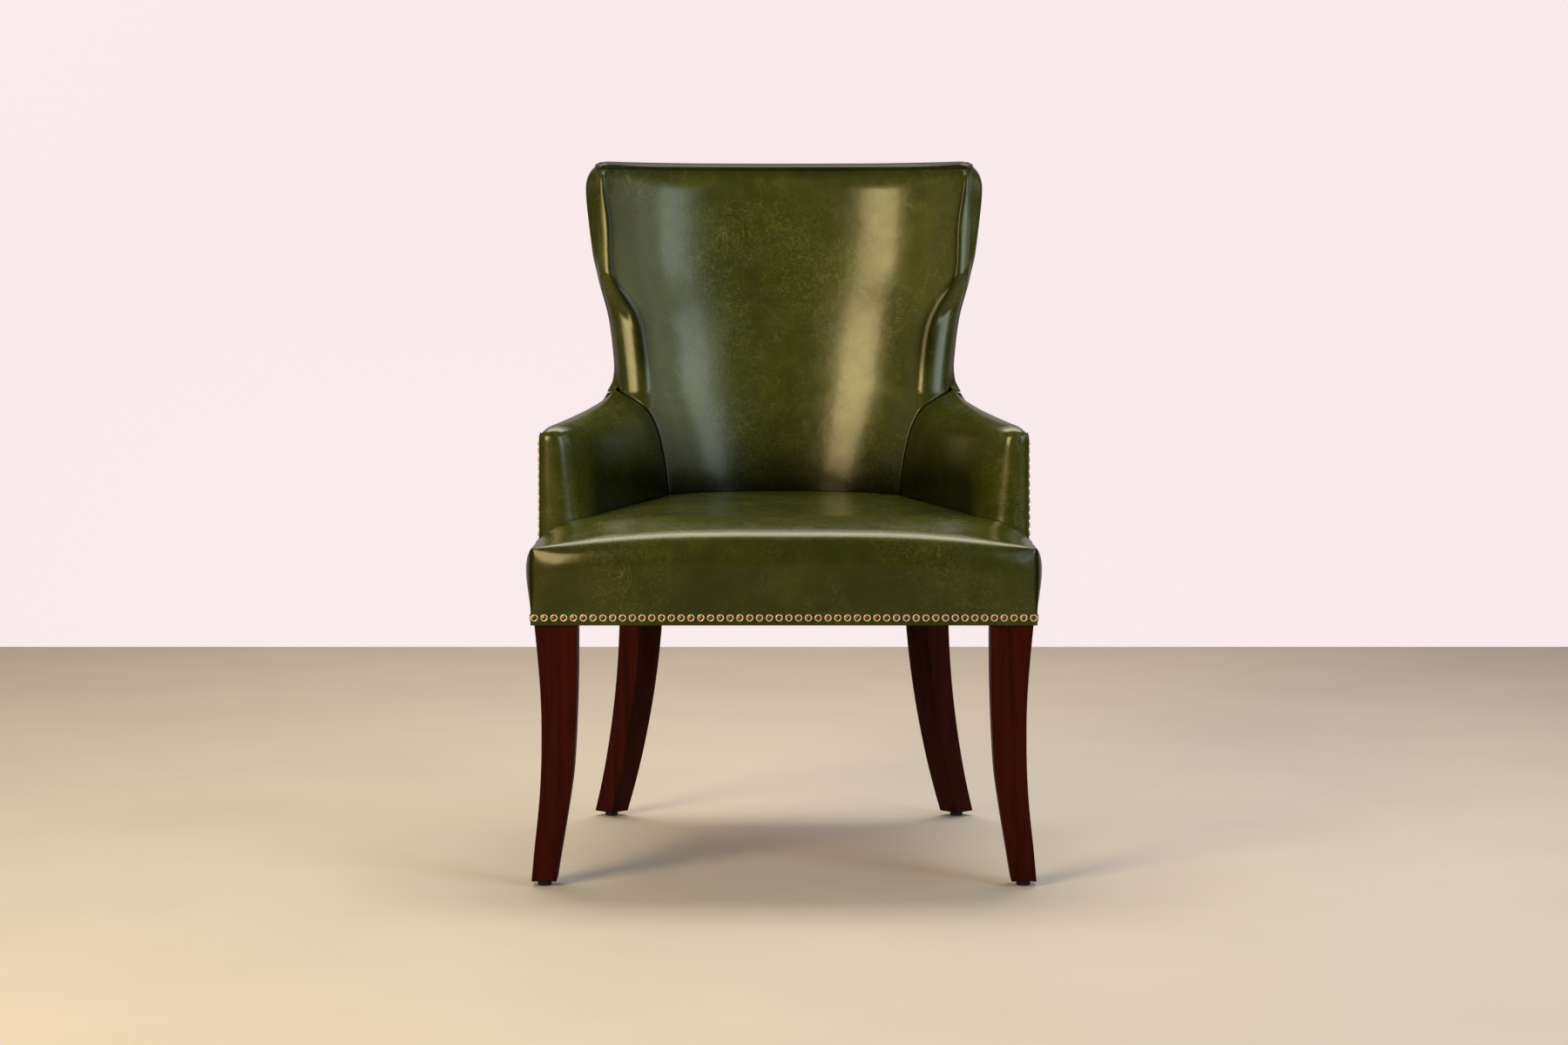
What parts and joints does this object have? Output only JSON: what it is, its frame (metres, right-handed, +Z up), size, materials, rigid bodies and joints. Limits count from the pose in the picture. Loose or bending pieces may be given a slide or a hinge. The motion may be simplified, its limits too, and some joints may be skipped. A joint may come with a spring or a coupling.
{
  "type": "upholstered dining armchair",
  "caption": "Dining armchair with a winged hollow back, sloping arms, T-front sprung seat, leather cover, brass nail trim and sabre legs.",
  "frame": {"origin": "on the floor, below the middle of the chair's overall width and depth", "axes": "+Z up, the chair faces -Y, +X to the right seen from the front"},
  "size_m": [0.674, 0.6857, 0.966],
  "materials": {
    "leather": "glossy dark olive pull-up leather with fine creases",
    "stained_wood": "dark mahogany stain, satin",
    "frame_wood": "bare beech",
    "foam": "upholstery foam, matt",
    "jute": "woven jute, matt",
    "dust_cloth": "black cloth, matt",
    "brass": "aged polished brass",
    "steel": "zinc plated",
    "glide_plastic": "black, matt"
  },
  "bodies": {
    "root": {"front_rail": "frame_wood", "back_rail": "frame_wood", "side_rail_left": "frame_wood", "side_rail_right": "frame_wood", "front_corner_blocks": "frame_wood", "rear_block_left": "frame_wood", "rear_block_right": "frame_wood", "back_post_left": "frame_wood", "back_post_right": "frame_wood", "crest_rail": "frame_wood", "lower_back_rail": "frame_wood", "arm_post_left": "frame_wood", "arm_post_right": "frame_wood", "arm_rail_left": "frame_wood", "arm_rail_right": "frame_wood", "front_leg_left": "stained_wood", "front_leg_right": "stained_wood", "rear_leg_left": "stained_wood", "rear_leg_right": "stained_wood", "leg_bolts": "steel", "leg_nuts_and_washers": "steel", "seat_springs": "steel", "spring_clips": "steel", "glide_front_left": "glide_plastic", "glide_front_right": "glide_plastic", "glide_rear_left": "glide_plastic", "glide_rear_right": "glide_plastic", "back_webbing": "jute", "seat_deck": "jute", "seat_foam": "foam", "rail_padding": "foam", "back_foam": "foam", "arm_foam_left": "foam", "arm_foam_right": "foam", "seat_cover": "leather", "inside_back_cover": "leather", "outside_back_panel": "leather", "inside_arm_cover_left": "leather", "inside_arm_cover_right": "leather", "outside_arm_panel_left": "leather", "outside_arm_panel_right": "leather", "dust_cover": "dust_cloth", "front_nails": "brass", "side_nails_left": "brass", "side_nails_right": "brass", "back_nails": "brass", "arm_nails_left": "brass", "arm_nails_right": "brass"}
  },
  "joints": []
}
